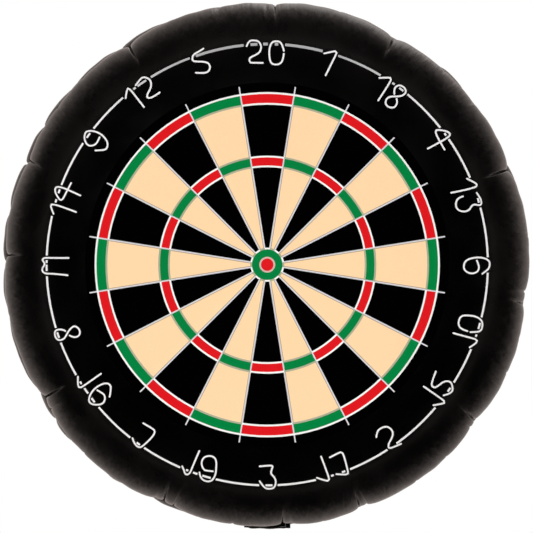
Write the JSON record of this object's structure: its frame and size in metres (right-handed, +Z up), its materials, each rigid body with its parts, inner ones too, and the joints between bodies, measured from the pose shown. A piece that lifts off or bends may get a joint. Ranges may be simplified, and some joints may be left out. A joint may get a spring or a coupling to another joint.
{
  "type": "foil balloon",
  "caption": "Round black foil balloon, inflated, printed on the front as a dartboard with bent-wire numbers; crimped rim weld and a folding filling neck with a self-sealing valve.",
  "frame": {"origin": "centre of the seam circle, in the plane of the rim weld", "axes": "+Z up through the 20 sector, -Y out of the printed front, +X to the right of someone looking at the front"},
  "size_m": [0.351, 0.2055, 0.3524],
  "materials": {
    "black_film": "satin",
    "weld": "satin",
    "valve_film": "satin",
    "black_ink": "satin",
    "cream_ink": "matte",
    "red_ink": "matte",
    "green_ink": "matte",
    "wire_ink": "matte"
  },
  "bodies": {
    "balloon": {"front_panel": "black_film", "back_panel": "black_film", "rim_weld": "weld", "neck_root": "black_film", "valve_front_film": "valve_film", "valve_back_film": "valve_film", "valve_edge_welds": "valve_film", "black_print": "black_ink", "cream_print": "cream_ink", "red_print": "red_ink", "green_print": "green_ink", "ring_wires": "wire_ink", "spoke_wires": "wire_ink", "number_ring": "wire_ink", "numbers": "wire_ink"},
    "neck": {"neck_front_film": "black_film", "neck_back_film": "black_film", "neck_side_welds": "weld", "tail_tab": "weld", "valve_mouth_front_film": "valve_film", "valve_mouth_back_film": "valve_film", "valve_mouth_welds": "valve_film"}
  },
  "joints": [
    {"name": "neck_fold", "type": "hinge", "parent": "balloon", "child": "neck", "pos_m": [0, 0, -0.1765], "axis": [-1, 0, 0], "range_deg": [0, 208]}
  ]
}
